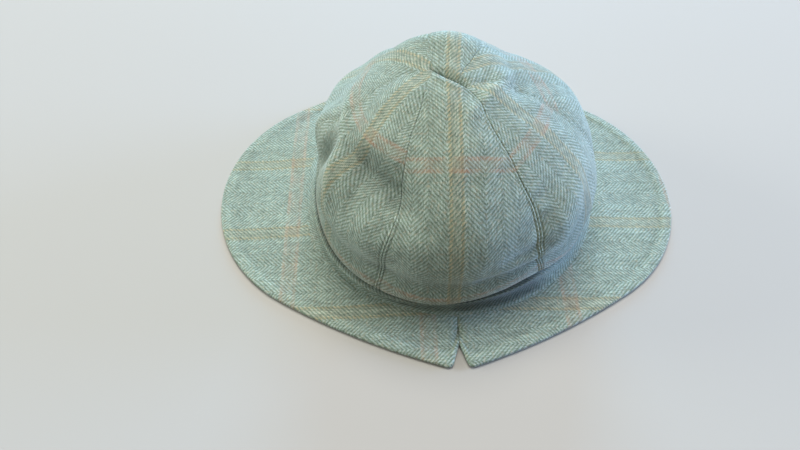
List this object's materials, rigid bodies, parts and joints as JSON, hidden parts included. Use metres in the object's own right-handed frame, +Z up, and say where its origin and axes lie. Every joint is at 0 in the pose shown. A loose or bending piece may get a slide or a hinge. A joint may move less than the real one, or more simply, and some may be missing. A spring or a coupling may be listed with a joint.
{
  "type": "deerstalker hat",
  "caption": "Tweed deerstalker hat at rest: a round crown of gores on a low band, with two flat crescent peaks that meet in notches at the sides.",
  "frame": {"origin": "on the surface the hat rests on, under the middle of the brim", "axes": "+X to the front of the hat, +Y to the wearer's left, +Z up"},
  "size_m": [0.33, 0.2772, 0.1156],
  "materials": {
    "crown_tweed": "sage green herringbone tweed with a rust and ochre overcheck, matt and slightly hairy",
    "band_tweed": "the same tweed, in shade under the crown",
    "peak_tweed": "the same tweed with its herringbone running fore and aft"
  },
  "bodies": {
    "root": {"crown_panel_1": "crown_tweed", "crown_panel_2": "crown_tweed", "crown_panel_3": "crown_tweed", "crown_panel_4": "crown_tweed", "crown_panel_5": "crown_tweed", "crown_panel_6": "crown_tweed", "band": "band_tweed", "front_peak": "peak_tweed", "rear_peak": "peak_tweed"}
  },
  "joints": []
}
